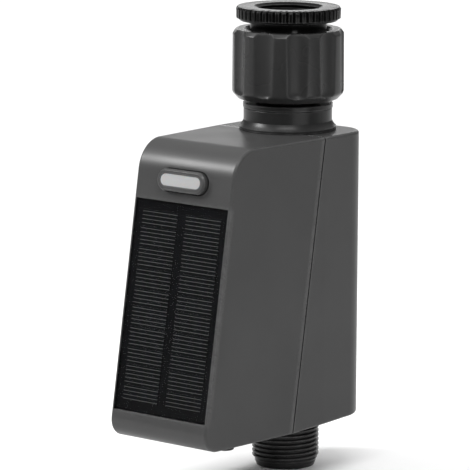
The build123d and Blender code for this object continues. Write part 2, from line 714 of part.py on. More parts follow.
def outlet_fitting():
    """Lower half of the valve, ending in the male hose thread."""
    low, high = OUTLET_THREAD_H
    spigot_r = CHAMBER_BORE_R - 0.1
    body = turned([
        (OUTLET_BORE_R + 0.8, OUTLET_END_H), (OUTLET_LEAD_R, OUTLET_END_H), (THREAD_ROOT_R, low - 0.6),
        (THREAD_ROOT_R, low), (THREAD_CREST_R, low), (THREAD_CREST_R, high), (THREAD_ROOT_R, high),
        (THREAD_ROOT_R, OUTLET_SHOULDER_H[0]), (15.6, OUTLET_SHOULDER_H[0]), (15.6, OUTLET_SHOULDER_H[1]),
        (TUBE_R, 7.5), (TUBE_R, 41.0), (CHAMBER_R, 41.0), (CHAMBER_R, JOINT_H - 0.02),
        (spigot_r, JOINT_H - 0.02), (spigot_r, 49.0), (OUTLET_BORE_R, 49.0),
        (OUTLET_BORE_R, OUTLET_END_H + 0.8),
    ])
    for groove in ring_grooves(low, high, THREAD_CREST_R, THREAD_ROOT_R, False):
        body -= groove
    for place in joint_screw_places():
        body -= place * rod(1.3, 40, JOINT_H + 1)
    return body


def body_seal():
    """Square ring between the bore walls of valve body and outlet fitting."""
    return tube(CHAMBER_BORE_R - 0.02, 9.0, 49.05, 50.6)


def outlet_screws():
    """Four screws that join the outlet fitting to the valve body."""
    screw = rod(1.0, 41, 54) + rod(1.95, 39.2, 41.0)
    screw -= rod(0.9, 38, 40.2)
    return Compound(children=[place * screw for place in joint_screw_places()])


def ball_sphere(radius):
    """Sphere about the ball's centre."""
    return Pos(0, 0, level(BALL_H)) * Sphere(radius)


def ball_seats():
    """Two seats with a spherical face each."""
    upper = tube(CHAMBER_BORE_R - 0.05, BALL_BORE_R + 0.2, BALL_H + 8.0, CHAMBER_TOP - 0.02)
    lower = tube(CHAMBER_BORE_R - 0.05, BALL_BORE_R + 0.2, 50.65, BALL_H - 8.0)
    hollow = ball_sphere(BALL_R + SEAT_CLEARANCE)
    return Compound(children=[upper - hollow, lower - hollow])


def valve_ball():
    """Ball, closed at rest: its bore lies across the water path."""
    across = Plane(origin=(-20, 0, level(BALL_H)), x_dir=(0, 1, 0), z_dir=(1, 0, 0))
    ball = ball_sphere(BALL_R) - across * Cylinder(BALL_BORE_R, 40, align=UPRIGHT)
    return ball - block(-20, 20, -12, -8.4, BALL_H - 1.5, BALL_H + 1.5)


def valve_stem():
    """Stem with a tongue for the ball, a blow-out shoulder and a square for the gear."""
    stem = pin(STEM_R, -29.6, -11.6, 0, BALL_H) + pin(4.4, -13.6, -11.6, 0, BALL_H)
    stem += block(-4.0, 4.0, -12.0, -8.5, BALL_H - 1.4, BALL_H + 1.4) & pin(4.4, -12.5, -8, 0, BALL_H)
    square = block(-2.1, 2.1, -27.7, -23.0, BALL_H - 2.1, BALL_H + 2.1)
    ring = pin(STEM_R + 1, -27.7, -23.0, 0, BALL_H) - square
    stem -= ring
    return stem - (pin(STEM_R + 1, -28.6, -27.9, 0, BALL_H) - pin(2.2, -28.6, -27.9, 0, BALL_H))


def stem_seals():
    """Two rings round the stem."""
    rings = []
    for y in (-17.0, -18.6):
        place = Plane(origin=(0, y, level(BALL_H)), x_dir=(1, 0, 0), z_dir=(0, 1, 0))
        rings.append(place * Torus(3.75, 0.73))
    return Compound(children=rings)


def stem_gland():
    """Flanged bush that keeps the stem seals in."""
    bush = pin(4.42, -21.4, -19.45, 0, BALL_H) + pin(5.3, -21.4, -20.05, 0, BALL_H)
    return bush - pin(STEM_R + 0.06, -25, -15, 0, BALL_H)


def outlet_seal():
    """Ring between the outlet's shoulder and the housing's floor."""
    return tube(15.2, THREAD_ROOT_R + 0.5, REAR_FLOOR_H + 0.02, OUTLET_SHOULDER_H[0] - 0.05)


# ---- drive ----
def gear_outline(teeth, module, phase):
    """Points of a straight-flanked involute gear, a tooth centred at angle phase (radians)."""
    pitch_r = module * teeth / 2
    base_r = pitch_r * cos(radians(20))
    tip_r = pitch_r + 0.8 * module
    root_r = pitch_r - 1.15 * module
    play = 0.07 * module

    def spread(radius):
        angle = acos(min(1.0, base_r / radius))
        return tan(angle) - angle

    half_at_pitch = (pi * module / 4 - play) / pitch_r
    steps = 4
    low_r = max(base_r, root_r)
    radii = [low_r + (tip_r - low_r) * step / steps for step in range(steps + 1)]
    halves = [half_at_pitch + spread(pitch_r) - spread(radius) for radius in radii]
    points = []
    for tooth in range(teeth):
        centre = phase + 2 * pi * tooth / teeth
        flank = [(root_r, -halves[0])] + [(r, -half) for r, half in zip(radii, halves)]
        if root_r >= base_r:
            flank = flank[1:]
        for radius, angle in flank + [(r, -a) for r, a in reversed(flank)]:
            points.append((radius * cos(centre + angle), radius * sin(centre + angle)))
    return points


def spur(teeth, module, phase, y0, y1, h):
    """Spur gear about a Y axis at height h; phase 90 degrees points a tooth up."""
    place = Plane(origin=(0, y0, level(h)), x_dir=(1, 0, 0), z_dir=(0, -1, 0))
    outline = make_face(Polyline(*gear_outline(teeth, module, radians(phase)), close=True))
    return place * extrude(outline, -(y1 - y0))


def output_gear():
    """Large gear on the stem."""
    gear = spur(OUTPUT_TEETH, DRIVE_MODULE, -90, *SLOW_GEAR_Y, BALL_H)
    gear -= block(-2.15, 2.15, -40, -20, BALL_H - 2.15, BALL_H + 2.15)
    web = pin(13.4, -29, -26.6, 0, BALL_H) - pin(6.0, -30, -20, 0, BALL_H)
    gear -= web
    gear += pin(2.6, SLOW_GEAR_Y[0], SLOW_GEAR_Y[1] - 1, 0, BALL_H + 10.2)
    return gear - pin(1.55, -29, -25.0, 0, BALL_H + 10.2)


def gear_clip():
    """Clip that holds the gear on the stem."""
    clip = pin(4.2, -28.55, -27.95, 0, BALL_H) - pin(2.25, -30, -25, 0, BALL_H)
    return clip - block(-1.8, 1.8, -30, -25, BALL_H - 6, BALL_H)


def position_magnet():
    """Magnet in the output gear."""
    return pin(1.5, -27.5, -25.05, 0, BALL_H + 10.2)


def idler_gear():
    """Two-step gear between pinion and output gear."""
    gap_up = 90 + 180 / IDLER_SMALL_TEETH
    small = spur(IDLER_SMALL_TEETH, DRIVE_MODULE, gap_up, FAST_GEAR_Y[1] - 0.1, SLOW_GEAR_Y[1], IDLER_H)
    large = spur(IDLER_LARGE_TEETH, FAST_MODULE, -90, *FAST_GEAR_Y, IDLER_H)
    return small + large - pin(1.56, -40, -15, 0, IDLER_H)


def idler_shaft():
    """Steel pin the idler gear turns on."""
    return pin(1.5, COVER_Y[0] + 0.4, BASE_Y[1] - 0.2, 0, IDLER_H)


def motor_pinion():
    """Small gear on the motor's shaft."""
    pinion = spur(PINION_TEETH, FAST_MODULE, 90 + 180 / PINION_TEETH, *FAST_GEAR_Y, PINION_H)
    return pinion - pin(1.5, -40, -15, 0, PINION_H)


def motor_shaft():
    """Output shaft of the gearhead."""
    return pin(1.5, MOTOR_Y[1] + 1.0, FAST_GEAR_Y[1] + 1.2, 0, PINION_H)


def motor_gearhead():
    """Reduction head: two end plates, spacers and a round gear stack."""
    head = block(-6.0, 6.0, COVER_Y[0] - 1.0, COVER_Y[0] - 0.02, PINION_H - 5, PINION_H + 5)
    head += block(-6.0, 6.0, MOTOR_Y[1] + 0.05, MOTOR_Y[1] + 1.0, PINION_H - 5, PINION_H + 5)
    for x, h in ((-4.6, -3.6), (4.6, -3.6), (-4.6, 3.6), (4.6, 3.6)):
        head += pin(0.9, MOTOR_Y[1] + 0.05, COVER_Y[0] - 0.02, x, PINION_H + h)
    head += pin(4.0, MOTOR_Y[1] + 0.5, MOTOR_Y[1] + 6.5, 0, PINION_H)
    return head - pin(1.58, MOTOR_Y[1] + 0.95, COVER_Y[1], 0, PINION_H)


def motor_can():
    """Flat-sided motor can with a tail boss."""
    can = pin(6.0, MOTOR_Y[0] + 1.0, MOTOR_Y[1], 0, PINION_H)
    can &= block(-6.0, 6.0, MOTOR_Y[0], MOTOR_Y[1], PINION_H - 5, PINION_H + 5)
    return can + pin(2.0, MOTOR_Y[0], MOTOR_Y[0] + 1.5, 0, PINION_H) + block(
        -4.2, 4.2, MOTOR_Y[0] + 0.02, MOTOR_Y[0] + 1.2, PINION_H - 1.2, PINION_H + 1.2)


def gearbox_base():
    """Back plate of the gearbox, screwed to the valve body."""
    plate = block(-21.4, 21.4, *BASE_Y, 14.6, 79.8)
    plate -= pin(5.6, -30, -15, 0, BALL_H)
    for x, h in BASE_SCREWS:
        plate -= pin(1.4, -30, -15, x, h)
        sink = Plane(origin=(x, BASE_Y[0], level(h)), x_dir=(1, 0, 0), z_dir=(0, 1, 0))
        plate -= sink * Cone(2.35, 1.3, 1.3, align=UPRIGHT)
    for x, h in COLUMNS:
        plate -= pin(0.95, -30, -15, x, h)
    plate -= pin(1.5, BASE_Y[0] - 1, BASE_Y[1] - 0.2, 0, IDLER_H)
    return plate


def base_screws():
    """Four countersunk screws that fix the gearbox base."""
    screws = []
    for x, h in BASE_SCREWS:
        sink = Plane(origin=(x, BASE_Y[0] + 0.05, level(h)), x_dir=(1, 0, 0), z_dir=(0, 1, 0))
        screws.append(sink * Cone(2.2, 1.0, 1.2, align=UPRIGHT) + pin(1.0, BASE_Y[0] + 1.2, -12.2, x, h))
    return Compound(children=screws)


def gearbox_cover():
    """Front plate with four columns, holding the motor and the idler's shaft."""
    cover = block(-21.4, 21.4, *COVER_Y, 14.6, 79.8)
    for x, h in COLUMNS:
        cover += pin(2.9, COVER_Y[1] - 0.5, BASE_Y[0], x, h)
        cover -= pin(1.15, -36, -20, x, h)
    cover -= pin(2.6, -36, -30, 0, PINION_H)
    cover -= pin(1.5, COVER_Y[0] + 0.4, -30, 0, IDLER_H)
    for x in (-4.5, 4.5):
        cover -= pin(0.95, -36, -30, x, PINION_H)
    for h in (69.0, 71.0, 73.0):
        cover -= pin(0.6, -36, -30, 13.4, h)
    return cover


def cover_screws():
    """Four long screws through the columns."""
    screws = []
    for x, h in COLUMNS:
        screw = pin(0.9, COVER_Y[0] - 0.5, BASE_Y[1] - 0.1, x, h)
        screw += pin(2.0, COVER_Y[0] - 1.5, COVER_Y[0], x, h)
        screws.append(screw - block(x - 1.2, x + 1.2, -38, COVER_Y[0] - 0.8, h - 0.25, h + 0.25))
    return Compound(children=screws)


def motor_screws():
    """Two small screws from inside the cover into the gearhead."""
    screws = []
    for x in (-4.5, 4.5):
        screws.append(pin(0.85, COVER_Y[0], COVER_Y[1] + 0.3, x, PINION_H)
                      + pin(1.5, COVER_Y[1], COVER_Y[1] + 0.8, x, PINION_H))
    return Compound(children=screws)


def sensor_board():
    """Small board inside the cover, over the magnet's path."""
    return block(-14.5, 14.5, COVER_Y[1] + 0.05, COVER_Y[1] + 1.05, 67.0, 75.5)


def hall_sensors():
    """Two magnet sensors, for open and closed."""
    sensors = []
    for x, h in ((0.0, BALL_H + 10.2), (10.2, 68.8)):
        sensors.append(block(x - 1.5, x + 1.5, COVER_Y[1] + 1.05, COVER_Y[1] + 2.2, h - 1.5, h + 1.5))
    return Compound(children=sensors)


BUILDERS = (
    front_housing, rear_housing, housing_seal, housing_screws, solar_cover, solar_backsheet, solar_cells,
    solar_leads, button_cap, button_lens, button_seal, tact_switch, tact_plunger, status_leds, main_pcb,
    pcb_screws, radio_module, pcb_components, battery_cell, battery_holder, battery_contacts, usb_board,
    usb_socket, port_plug, motor_leads, sensor_leads, reducer, tap_washer, swivel_nut, nut_ring,
    inlet_washer, inlet_filter_frame, inlet_filter_mesh, neck_seal, valve_body, outlet_fitting, body_seal,
    outlet_screws, ball_seats, valve_ball, valve_stem, stem_seals, stem_gland, outlet_seal, output_gear,
    gear_clip, position_magnet, idler_gear, idler_shaft, motor_pinion, motor_shaft, motor_gearhead,
    motor_can, gearbox_base, base_screws, gearbox_cover, cover_screws, motor_screws, sensor_board,
    hall_sensors,
)

for builder in BUILDERS:
    export_step(builder(), f"parts/{builder.__name__}.step")
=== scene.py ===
import math

import bmesh
import bpy
from mathutils import Matrix, Vector


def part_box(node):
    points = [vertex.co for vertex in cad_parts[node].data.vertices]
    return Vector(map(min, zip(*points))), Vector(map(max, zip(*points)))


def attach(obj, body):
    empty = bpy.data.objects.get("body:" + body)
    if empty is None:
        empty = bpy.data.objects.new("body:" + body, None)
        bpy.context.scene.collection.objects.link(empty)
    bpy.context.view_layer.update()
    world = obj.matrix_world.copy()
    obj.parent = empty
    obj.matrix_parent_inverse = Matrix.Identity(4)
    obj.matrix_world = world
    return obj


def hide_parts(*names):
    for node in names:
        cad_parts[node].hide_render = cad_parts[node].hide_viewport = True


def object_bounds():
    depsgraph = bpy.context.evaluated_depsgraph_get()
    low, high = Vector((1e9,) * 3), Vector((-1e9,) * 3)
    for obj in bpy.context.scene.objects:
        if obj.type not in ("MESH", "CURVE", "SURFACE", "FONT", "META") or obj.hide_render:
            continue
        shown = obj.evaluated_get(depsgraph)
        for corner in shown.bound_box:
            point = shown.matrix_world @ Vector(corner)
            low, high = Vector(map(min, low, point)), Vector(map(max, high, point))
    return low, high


# The drip irrigation timer's looks, in metres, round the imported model. Housing, electronics, valve and
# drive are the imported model's own nodes with finished materials. The threaded outlet, the nut, the
# reducer, the solar cells and their printed lines are built here.
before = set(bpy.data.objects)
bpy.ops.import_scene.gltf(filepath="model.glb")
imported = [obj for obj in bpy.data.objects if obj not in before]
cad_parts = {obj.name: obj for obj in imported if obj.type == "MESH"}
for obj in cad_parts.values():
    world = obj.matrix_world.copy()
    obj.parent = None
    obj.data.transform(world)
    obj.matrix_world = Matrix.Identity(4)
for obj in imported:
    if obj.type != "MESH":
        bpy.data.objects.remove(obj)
CAD_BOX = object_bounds()

MM = 0.001
TURN = 2 * math.pi


# ---- sizes, from the frame ----
def node_low(name):
    """A node's lowest corner at rest."""
    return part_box(name)[0]


def node_high(name):
    """A node's highest corner at rest."""
    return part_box(name)[1]


FLOOR_Z = CAD_BOX[0].z
BOTTOM_Z = node_low("front_housing").z

# 3/4 inch pipe thread, outside the outlet and inside the reducer
PIPE_PITCH = 1.814 * MM
PIPE_CREST_R = 13.22 * MM
PIPE_ROOT_R = 12.06 * MM

# outlet fitting, from its mouth up
OUTLET_END_Z = node_low("outlet_fitting").z
OUTLET_TOP_Z = node_high("outlet_fitting").z
OUTLET_BORE_R = 8.5 * MM
OUTLET_MOUTH_R = 9.3 * MM
OUTLET_TIP_R = 11.4 * MM
OUTLET_THREAD_Z = (OUTLET_END_Z + 2.3 * MM, OUTLET_END_Z + 19.1 * MM)
FLANGE_R = 15.6 * MM
FLANGE_Z = (BOTTOM_Z + 4.3 * MM, BOTTOM_Z + 6.3 * MM)
BARREL_R = 12.0 * MM
BARREL_Z = (BOTTOM_Z + 7.5 * MM, BOTTOM_Z + 41.0 * MM)
JOINT_R = 16.2 * MM
JOINT_Z = BOTTOM_Z + 45.98 * MM
SPIGOT_R = 12.5 * MM
SCREWS = 4
SCREW_CIRCLE_R = 14.3 * MM
SCREW_HOLE_R = 1.3 * MM
SCREW_HOLE_Z = (BOTTOM_Z + 39.5 * MM, JOINT_Z + 1 * MM)

# swivel nut
NUT_LOW, NUT_HIGH = node_low("swivel_nut").z, node_high("swivel_nut").z
NUT_R = 21.9 * MM
NUT_BORE_R = 16.35 * MM
NUT_THREAD_DEPTH = 0.85 * MM
NUT_NECK_R = 12.68 * MM
NUT_WEB_Z = (BOTTOM_Z + 127.6 * MM, BOTTOM_Z + 131.6 * MM)
COARSE_PITCH = 2.309 * MM
SCALLOPS = 10
SCALLOP_ANGLE = math.radians(-41.4)
SCALLOP_R = 9.0 * MM
SCALLOP_DEPTH = (1.15 * MM, 1.70 * MM)  # at the nut's bottom and top
SCALLOP_START = 1.7 * MM  # above the nut's bottom
SCALLOP_RUN_IN = 2.4 * MM

# reducer, from its low end up
REDUCER_LOW, REDUCER_HIGH = node_low("reducer").z, node_high("reducer").z
REDUCER_BORE_R = 9.6 * MM
REDUCER_ROOT_R = 15.35 * MM
REDUCER_CREST_R = 16.25 * MM
REDUCER_THREAD_TOP = BOTTOM_Z + 153.0 * MM
UNDERCUT_R = 15.0 * MM
WASHER_SEAT_R = 12.9 * MM
WASHER_SEAT_DEPTH = 2.9 * MM
SEALING_Z = 0.0
COLLAR_LOW = REDUCER_HIGH - 5.4 * MM
COLLAR_R = node_high("reducer").x
COLLAR_FOOT_R = 19.2 * MM
COLLAR_TEETH = 48
TOOTH_GROOVE = 0.95 * MM
TOOTH_GROOVE_SHARE = 0.20  # half the groove's width over the tooth pitch
TOP_STEP_R = 14.3 * MM

# solar panel: u across the face, v up the face, d into it
LEAN = math.radians(9.4)
FACE_ORIGIN = Vector((0, -79.1 * MM, BOTTOM_Z))
FACE_UP = Vector((0, math.sin(LEAN), math.cos(LEAN)))
FACE_IN = Vector((0, math.cos(LEAN), -math.sin(LEAN)))
CELL_U = (1.9 * MM, 19.7 * MM)
CELL_D = (0.9 * MM, 1.1 * MM)
STRIP_GAP = 0.44 * MM
LINE_V = (16.1 * MM, 88.6 * MM)
LINE_GROUPS = (4, 5, 4, 5, 5, 4, 5, 5, 5, 4)  # printed lines on each strip, from the bottom up
GROUP_GAP = 1.35  # step from one strip's last line to the next strip's first, in line steps
LINE_WIDTH = 0.17 * MM
LINE_INSET = 0.25 * MM
LINE_D = (CELL_D[0] - 0.02 * MM, CELL_D[0] + 0.005 * MM)


# ---- material tools ----
CORNER_SHADE = (0.96, 0.72)  # inside occlusion where an outside corner starts and is full
GROOVE_SHADE = (0.92, 0.60)  # outside occlusion where the painted shade of a groove starts and is full
GROOVE_REACH = 0.9 * MM


class Finish:
    """One procedural material: a Principled shader and the nodes that drive it."""

    def __init__(self, name, **values):
        self.material = bpy.data.materials.new(name)
        self.material.use_nodes = True
        self.tree = self.material.node_tree
        self.tree.nodes.clear()
        output = self.node("ShaderNodeOutputMaterial")
        self.shader = self.node("ShaderNodeBsdfPrincipled")
        self.link(self.shader.outputs["BSDF"], output.inputs["Surface"])
        for socket, value in values.items():
            self.shader.inputs[socket.replace("_", " ")].default_value = value
        self.place = self.node("ShaderNodeTexCoord").outputs["Object"]

    def node(self, kind, **settings):
        made = self.tree.nodes.new(kind)
        for key, value in settings.items():
            setattr(made, key, value)
        return made

    def link(self, source, target):
        self.tree.links.new(source, target)

    def feed(self, node, socket, value):
        """Sets a socket to a number or colour, or links it to another node's output."""
        target = node.inputs[socket]
        if isinstance(value, bpy.types.NodeSocket):
            self.link(value, target)
        else:
            target.default_value = value

    def stretched(self, scale):
        """Object coordinates scaled along each axis."""
        mapping = self.node("ShaderNodeMapping")
        self.feed(mapping, "Vector", self.place)
        self.feed(mapping, "Scale", scale)
        return mapping.outputs["Vector"]

    def noise(self, scale, detail=3.0, roughness=0.55, place=None):
        """Cloudy noise; the scale is in cells a metre."""
        made = self.node("ShaderNodeTexNoise")
        self.feed(made, "Vector", place or self.place)
        self.feed(made, "Scale", scale)
        self.feed(made, "Detail", detail)
        self.feed(made, "Roughness", roughness)
        return made.outputs["Fac"]

    def cells(self, scale, feature="F1"):
        """Distance within scattered cells."""
        made = self.node("ShaderNodeTexVoronoi", feature=feature)
        self.feed(made, "Vector", self.place)
        self.feed(made, "Scale", scale)
        return made.outputs["Distance"]

    def spread(self, value, low, high, start=0.0, end=1.0):
        """Maps a value from low..high to start..end, clamped."""
        made = self.node("ShaderNodeMapRange", clamp=True)
        for socket, number in zip(("Value", "From Min", "From Max", "To Min", "To Max"),
                                  (value, low, high, start, end)):
            self.feed(made, socket, number)
        return made.outputs["Result"]

    def maths(self, operation, first, second=0.0):
        made = self.node("ShaderNodeMath", operation=operation)
        self.feed(made, 0, first)
        self.feed(made, 1, second)
        return made.outputs["Value"]

    def mix(self, share, first, second):
        """Colour between two colours; the colour mix uses these sockets of the node."""
        factor, colour_a, colour_b, result = 0, 6, 7, 2
        made = self.node("ShaderNodeMix", data_type="RGBA")
        self.feed(made, factor, share)
        self.feed(made, colour_a, first)
        self.feed(made, colour_b, second)
        return made.outputs[result]

    def axis(self, name):
        """One object coordinate."""
        made = self.node("ShaderNodeSeparateXYZ")
        self.link(self.place, made.inputs[0])
        return made.outputs[name]

    def soft_edges(self, radius, reach):
        """Shading normal rounded over sharp corners, and a mask of the outside corners."""
        bevel = self.node("ShaderNodeBevel", samples=4)
        self.feed(bevel, "Radius", radius)
        corner = self.node("ShaderNodeAmbientOcclusion", samples=6, inside=True, only_local=True)
        self.feed(corner, "Distance", reach)
        return bevel.outputs["Normal"], self.spread(corner.outputs["AO"], *CORNER_SHADE)

    def grooves(self, most):
        """Mask of painted shade in grooves and inside corners, up to a share."""
        nook = self.node("ShaderNodeAmbientOcclusion", samples=6)
        self.feed(nook, "Distance", GROOVE_REACH)
        return self.spread(nook.outputs["AO"], *GROOVE_SHADE, 0.0, most)

    def bump(self, height, depth, strength=1.0, normal=None):
        made = self.node("ShaderNodeBump")
        self.feed(made, "Height", height)
        self.feed(made, "Distance", depth)
        self.feed(made, "Strength", strength)
        if normal is not None:
            self.feed(made, "Normal", normal)
        return made.outputs["Normal"]

    def surface(self, **sockets):
        """Links or sets the shader's own sockets, and gives the material."""
        for socket, value in sockets.items():
            self.feed(self.shader, socket.replace("_", " "), value)
        return self.material


def grey(level, tint=(1.0, 1.0, 1.0)):
    """Colour of an even grey level, scaled channel by channel."""
    return (level * tint[0], level * tint[1], level * tint[2], 1.0)


def moulded(name, level, rough, grain=3200.0, depth=0.010 * MM, tint=(1.0, 1.0, 1.0), edge=0.25 * MM,
            reach=0.8 * MM, wear_and_glint_share=0.5, wear_and_glint_grey=0.04, shine=0.10, gloss=0.5, cloud=0.07, grime_and_groove_shade=0.0):
    """Moulded plastic: eroded grain, faint flow clouds, lighter edges and a little handling polish.

    Corners within reach turn by a share to a lighter grey, and smoother by shine; the lighter grey is
    partly edge wear and partly a painted highlight. The last argument is how far grooves and inside corners
    darken, which is painted shade. Edge is the rounding of sharp corners in the shading.
    """
    made = Finish(name, Specular_IOR_Level=gloss)
    clouds = made.noise(45.0, 4.0)
    flow = made.noise(9.0, 2.0, place=made.stretched((1.0, 1.0, 0.35)))
    speck = made.noise(grain * 0.6, 2.0)
    tone = made.maths("ADD", made.maths("MULTIPLY", clouds, 0.6), made.maths("MULTIPLY", flow, 0.4))
    body = made.mix(made.spread(tone, 0.35, 0.65), grey(level * (1 - cloud), tint),
                    grey(level * (1 + cloud), tint))
    body = made.mix(made.spread(speck, 0.62, 0.78, 0.0, 0.25), body, grey(level * 1.7, tint))
    normal, corner = made.soft_edges(edge, reach)
    # Outside corners turn a lighter grey: partly edge wear, partly a painted highlight along the edges.
    wear_and_glint_mask = made.maths("MULTIPLY", corner, made.spread(made.noise(260.0, 4.0), 0.35, 0.62, 0.25, 1.0))
    body = made.mix(made.maths("MULTIPLY", wear_and_glint_mask, wear_and_glint_share), body, grey(wear_and_glint_grey, tint))
    # Painted shade: grooves and inside corners darken by outside occlusion.
    if grime_and_groove_shade:
        body = made.mix(made.grooves(grime_and_groove_shade), body, grey(level * 0.15, tint))
    polish = made.spread(made.noise(28.0, 3.0), 0.3, 0.7, rough + 0.035, rough - 0.035)
    roughness = made.maths("SUBTRACT", polish, made.maths("MULTIPLY", wear_and_glint_mask, shine))
    pits = made.maths("ADD", made.noise(grain, 2.0),
                      made.maths("MULTIPLY", made.cells(grain * 0.45), 0.35))
    ripple = made.bump(made.noise(70.0, 2.0), 0.012 * MM, 0.6, normal)
    return made.surface(Base_Color=body, Roughness=roughness, Normal=made.bump(pits, depth, 0.55, ripple))


def rubber(name, level, rough=0.62):
    """Soft rubber: dull bloom and fine dimples."""
    made = Finish(name, Specular_IOR_Level=0.35)
    bloom = made.spread(made.noise(160.0, 5.0), 0.4, 0.7)
    body = made.mix(bloom, grey(level), grey(level * 1.6 + 0.004))
    roughness = made.spread(made.noise(90.0, 3.0), 0.3, 0.7, rough - 0.08, rough + 0.08)
    return made.surface(Base_Color=body, Roughness=roughness,
                        Normal=made.bump(made.noise(2600.0, 3.0), 0.012 * MM, 0.5))


def metal(name, colour, rough, brushed=(1.0, 12.0, 1.0), stain=0.25):
    """Bare metal: drawn or brushed lines, thin stains, slightly uneven gloss."""
    made = Finish(name, Metallic=1.0)
    lines = made.noise(420.0, 3.0, place=made.stretched(brushed))
    stains = made.spread(made.noise(120.0, 5.0), 0.45, 0.75, 0.0, stain)
    dark = tuple(channel * 0.55 for channel in colour[:3]) + (1.0,)
    body = made.mix(stains, colour, dark)
    roughness = made.maths("ADD", made.spread(lines, 0.3, 0.7, rough - 0.06, rough + 0.08),
                           made.maths("MULTIPLY", stains, 0.3))
    return made.surface(Base_Color=body, Roughness=roughness, Normal=made.bump(lines, 0.006 * MM, 0.5))


def translucent(name, level, rough, tint=(1.0, 1.0, 1.0), depth=0.0012):
    """Milky plastic that light enters: acetal, PTFE and the light window."""
    made = Finish(name, Subsurface_Weight=0.35, Subsurface_Scale=depth)
    clouds = made.spread(made.noise(140.0, 4.0), 0.35, 0.65)
    body = made.mix(clouds, grey(level * 0.95, tint), grey(level, tint))
    roughness = made.spread(made.noise(60.0, 3.0), 0.3, 0.7, rough - 0.05, rough + 0.05)
    return made.surface(Base_Color=body, Roughness=roughness,
                        Normal=made.bump(made.noise(1500.0, 2.0), 0.006 * MM, 0.4))


def clear_cover(name):
    """Clear sheet with a faint texture and light dust."""
    made = Finish(name, Transmission_Weight=1.0, IOR=1.22, Specular_IOR_Level=0.5)
    dust = made.spread(made.noise(900.0, 4.0), 0.55, 0.85)
    roughness = made.maths("ADD", made.spread(made.noise(35.0, 3.0), 0.35, 0.7, 0.02, 0.05),
                           made.maths("MULTIPLY", dust, 0.06))
    return made.surface(Base_Color=(0.93, 0.94, 0.94, 1.0), Roughness=roughness,
                        Normal=made.bump(made.noise(500.0, 2.0), 0.0005 * MM, 0.3))


def solar_silicon(name, level):
    """Dark cell: faint crystal patches, slightly bluer where they are pale."""
    made = Finish(name, Specular_IOR_Level=0.05)
    patches = made.spread(made.cells(320.0), 0.0, 0.8)
    body = made.mix(patches, grey(level, (1.0, 1.02, 1.10)), grey(level, (1.5, 1.55, 1.8)))
    roughness = made.spread(made.noise(300.0, 3.0), 0.3, 0.7, 0.34, 0.46)
    return made.surface(Base_Color=body, Roughness=roughness,
                        Normal=made.bump(made.noise(2400.0, 2.0), 0.004 * MM, 0.4))


def silver_print(name, level):
    """Fired silver paste: grainy and uneven."""
    made = Finish(name, Metallic=0.2)
    body = made.mix(made.spread(made.noise(1800.0, 4.0), 0.3, 0.7), grey(level * 0.7), grey(level * 1.3))
    return made.surface(Base_Color=body, Roughness=made.spread(made.noise(2500.0), 0.3, 0.7, 0.4, 0.6),
                        Normal=made.bump(made.noise(4000.0, 2.0), 0.008 * MM, 0.5))


def circuit_board(name):
    """Green mask over copper tracks, with tinned pads."""
    made = Finish(name, Coat_Weight=0.3, Coat_Roughness=0.15)
    tracks = made.spread(made.cells(330.0, "DISTANCE_TO_EDGE"), 0.05, 0.09, 1.0, 0.0)
    pads = made.spread(made.cells(420.0), 0.10, 0.16, 1.0, 0.0)
    mask = made.mix(tracks, (0.004, 0.050, 0.016, 1.0), (0.010, 0.105, 0.030, 1.0))
    body = made.mix(pads, mask, (0.46, 0.45, 0.42, 1.0))
    roughness = made.spread(made.noise(300.0, 3.0), 0.3, 0.7, 0.28, 0.40)
    return made.surface(Base_Color=body, Roughness=roughness, Metallic=made.maths("MULTIPLY", pads, 0.8),
                        Normal=made.bump(made.maths("MAXIMUM", tracks, pads), 0.03 * MM, 0.7))


def chip_resin(name):
    """Moulded chip resin: grainy black with paler specks."""
    made = Finish(name, Specular_IOR_Level=0.4)
    body = made.mix(made.spread(made.noise(1500.0, 4.0), 0.4, 0.7), grey(0.010), grey(0.024))
    return made.surface(Base_Color=body, Roughness=made.spread(made.noise(700.0), 0.3, 0.7, 0.45, 0.62),
                        Normal=made.bump(made.noise(4200.0, 3.0), 0.010 * MM, 0.7))


def battery_sleeve(name):
    """Shrink sleeve with a pale band, and bare steel at the button end."""
    made = Finish(name, Coat_Weight=0.4, Coat_Roughness=0.1)
    height = made.axis("Z")
    low, high = node_low("battery_cell").z, node_high("battery_cell").z
    band = made.maths("MULTIPLY", made.spread(height, low + 9 * MM, low + 9.3 * MM),
                      made.spread(height, low + 14.3 * MM, low + 14 * MM))
    tip = made.spread(height, high - 3.2 * MM, high - 2.9 * MM)
    creases = made.noise(90.0, 4.0, place=made.stretched((1.0, 1.0, 0.3)))
    sleeve = made.mix(made.spread(creases, 0.3, 0.7), (0.012, 0.060, 0.110, 1.0),
                      (0.016, 0.075, 0.135, 1.0))
    body = made.mix(band, sleeve, (0.55, 0.56, 0.55, 1.0))
    body = made.mix(tip, body, (0.62, 0.61, 0.58, 1.0))
    return made.surface(Base_Color=body, Metallic=tip, Roughness=made.spread(creases, 0.3, 0.7, 0.22, 0.36),
                        Normal=made.bump(creases, 0.05 * MM, 0.5))


def wire_pair(name):
    """Insulated wires, red on one side and black on the other."""
    made = Finish(name, Specular_IOR_Level=0.45)
    red = made.spread(made.axis("X"), -0.1 * MM, 0.1 * MM)
    grime_and_groove_shade = made.spread(made.noise(700.0, 4.0), 0.4, 0.75, 0.0, 0.35)
    body = made.mix(red, (0.012, 0.012, 0.013, 1.0), (0.42, 0.018, 0.014, 1.0))
    body = made.mix(grime_and_groove_shade, body, (0.05, 0.04, 0.038, 1.0))
    return made.surface(Base_Color=body, Roughness=made.spread(made.noise(400.0), 0.3, 0.7, 0.38, 0.52),
                        Normal=made.bump(made.noise(1400.0, 2.0), 0.008 * MM, 0.5))


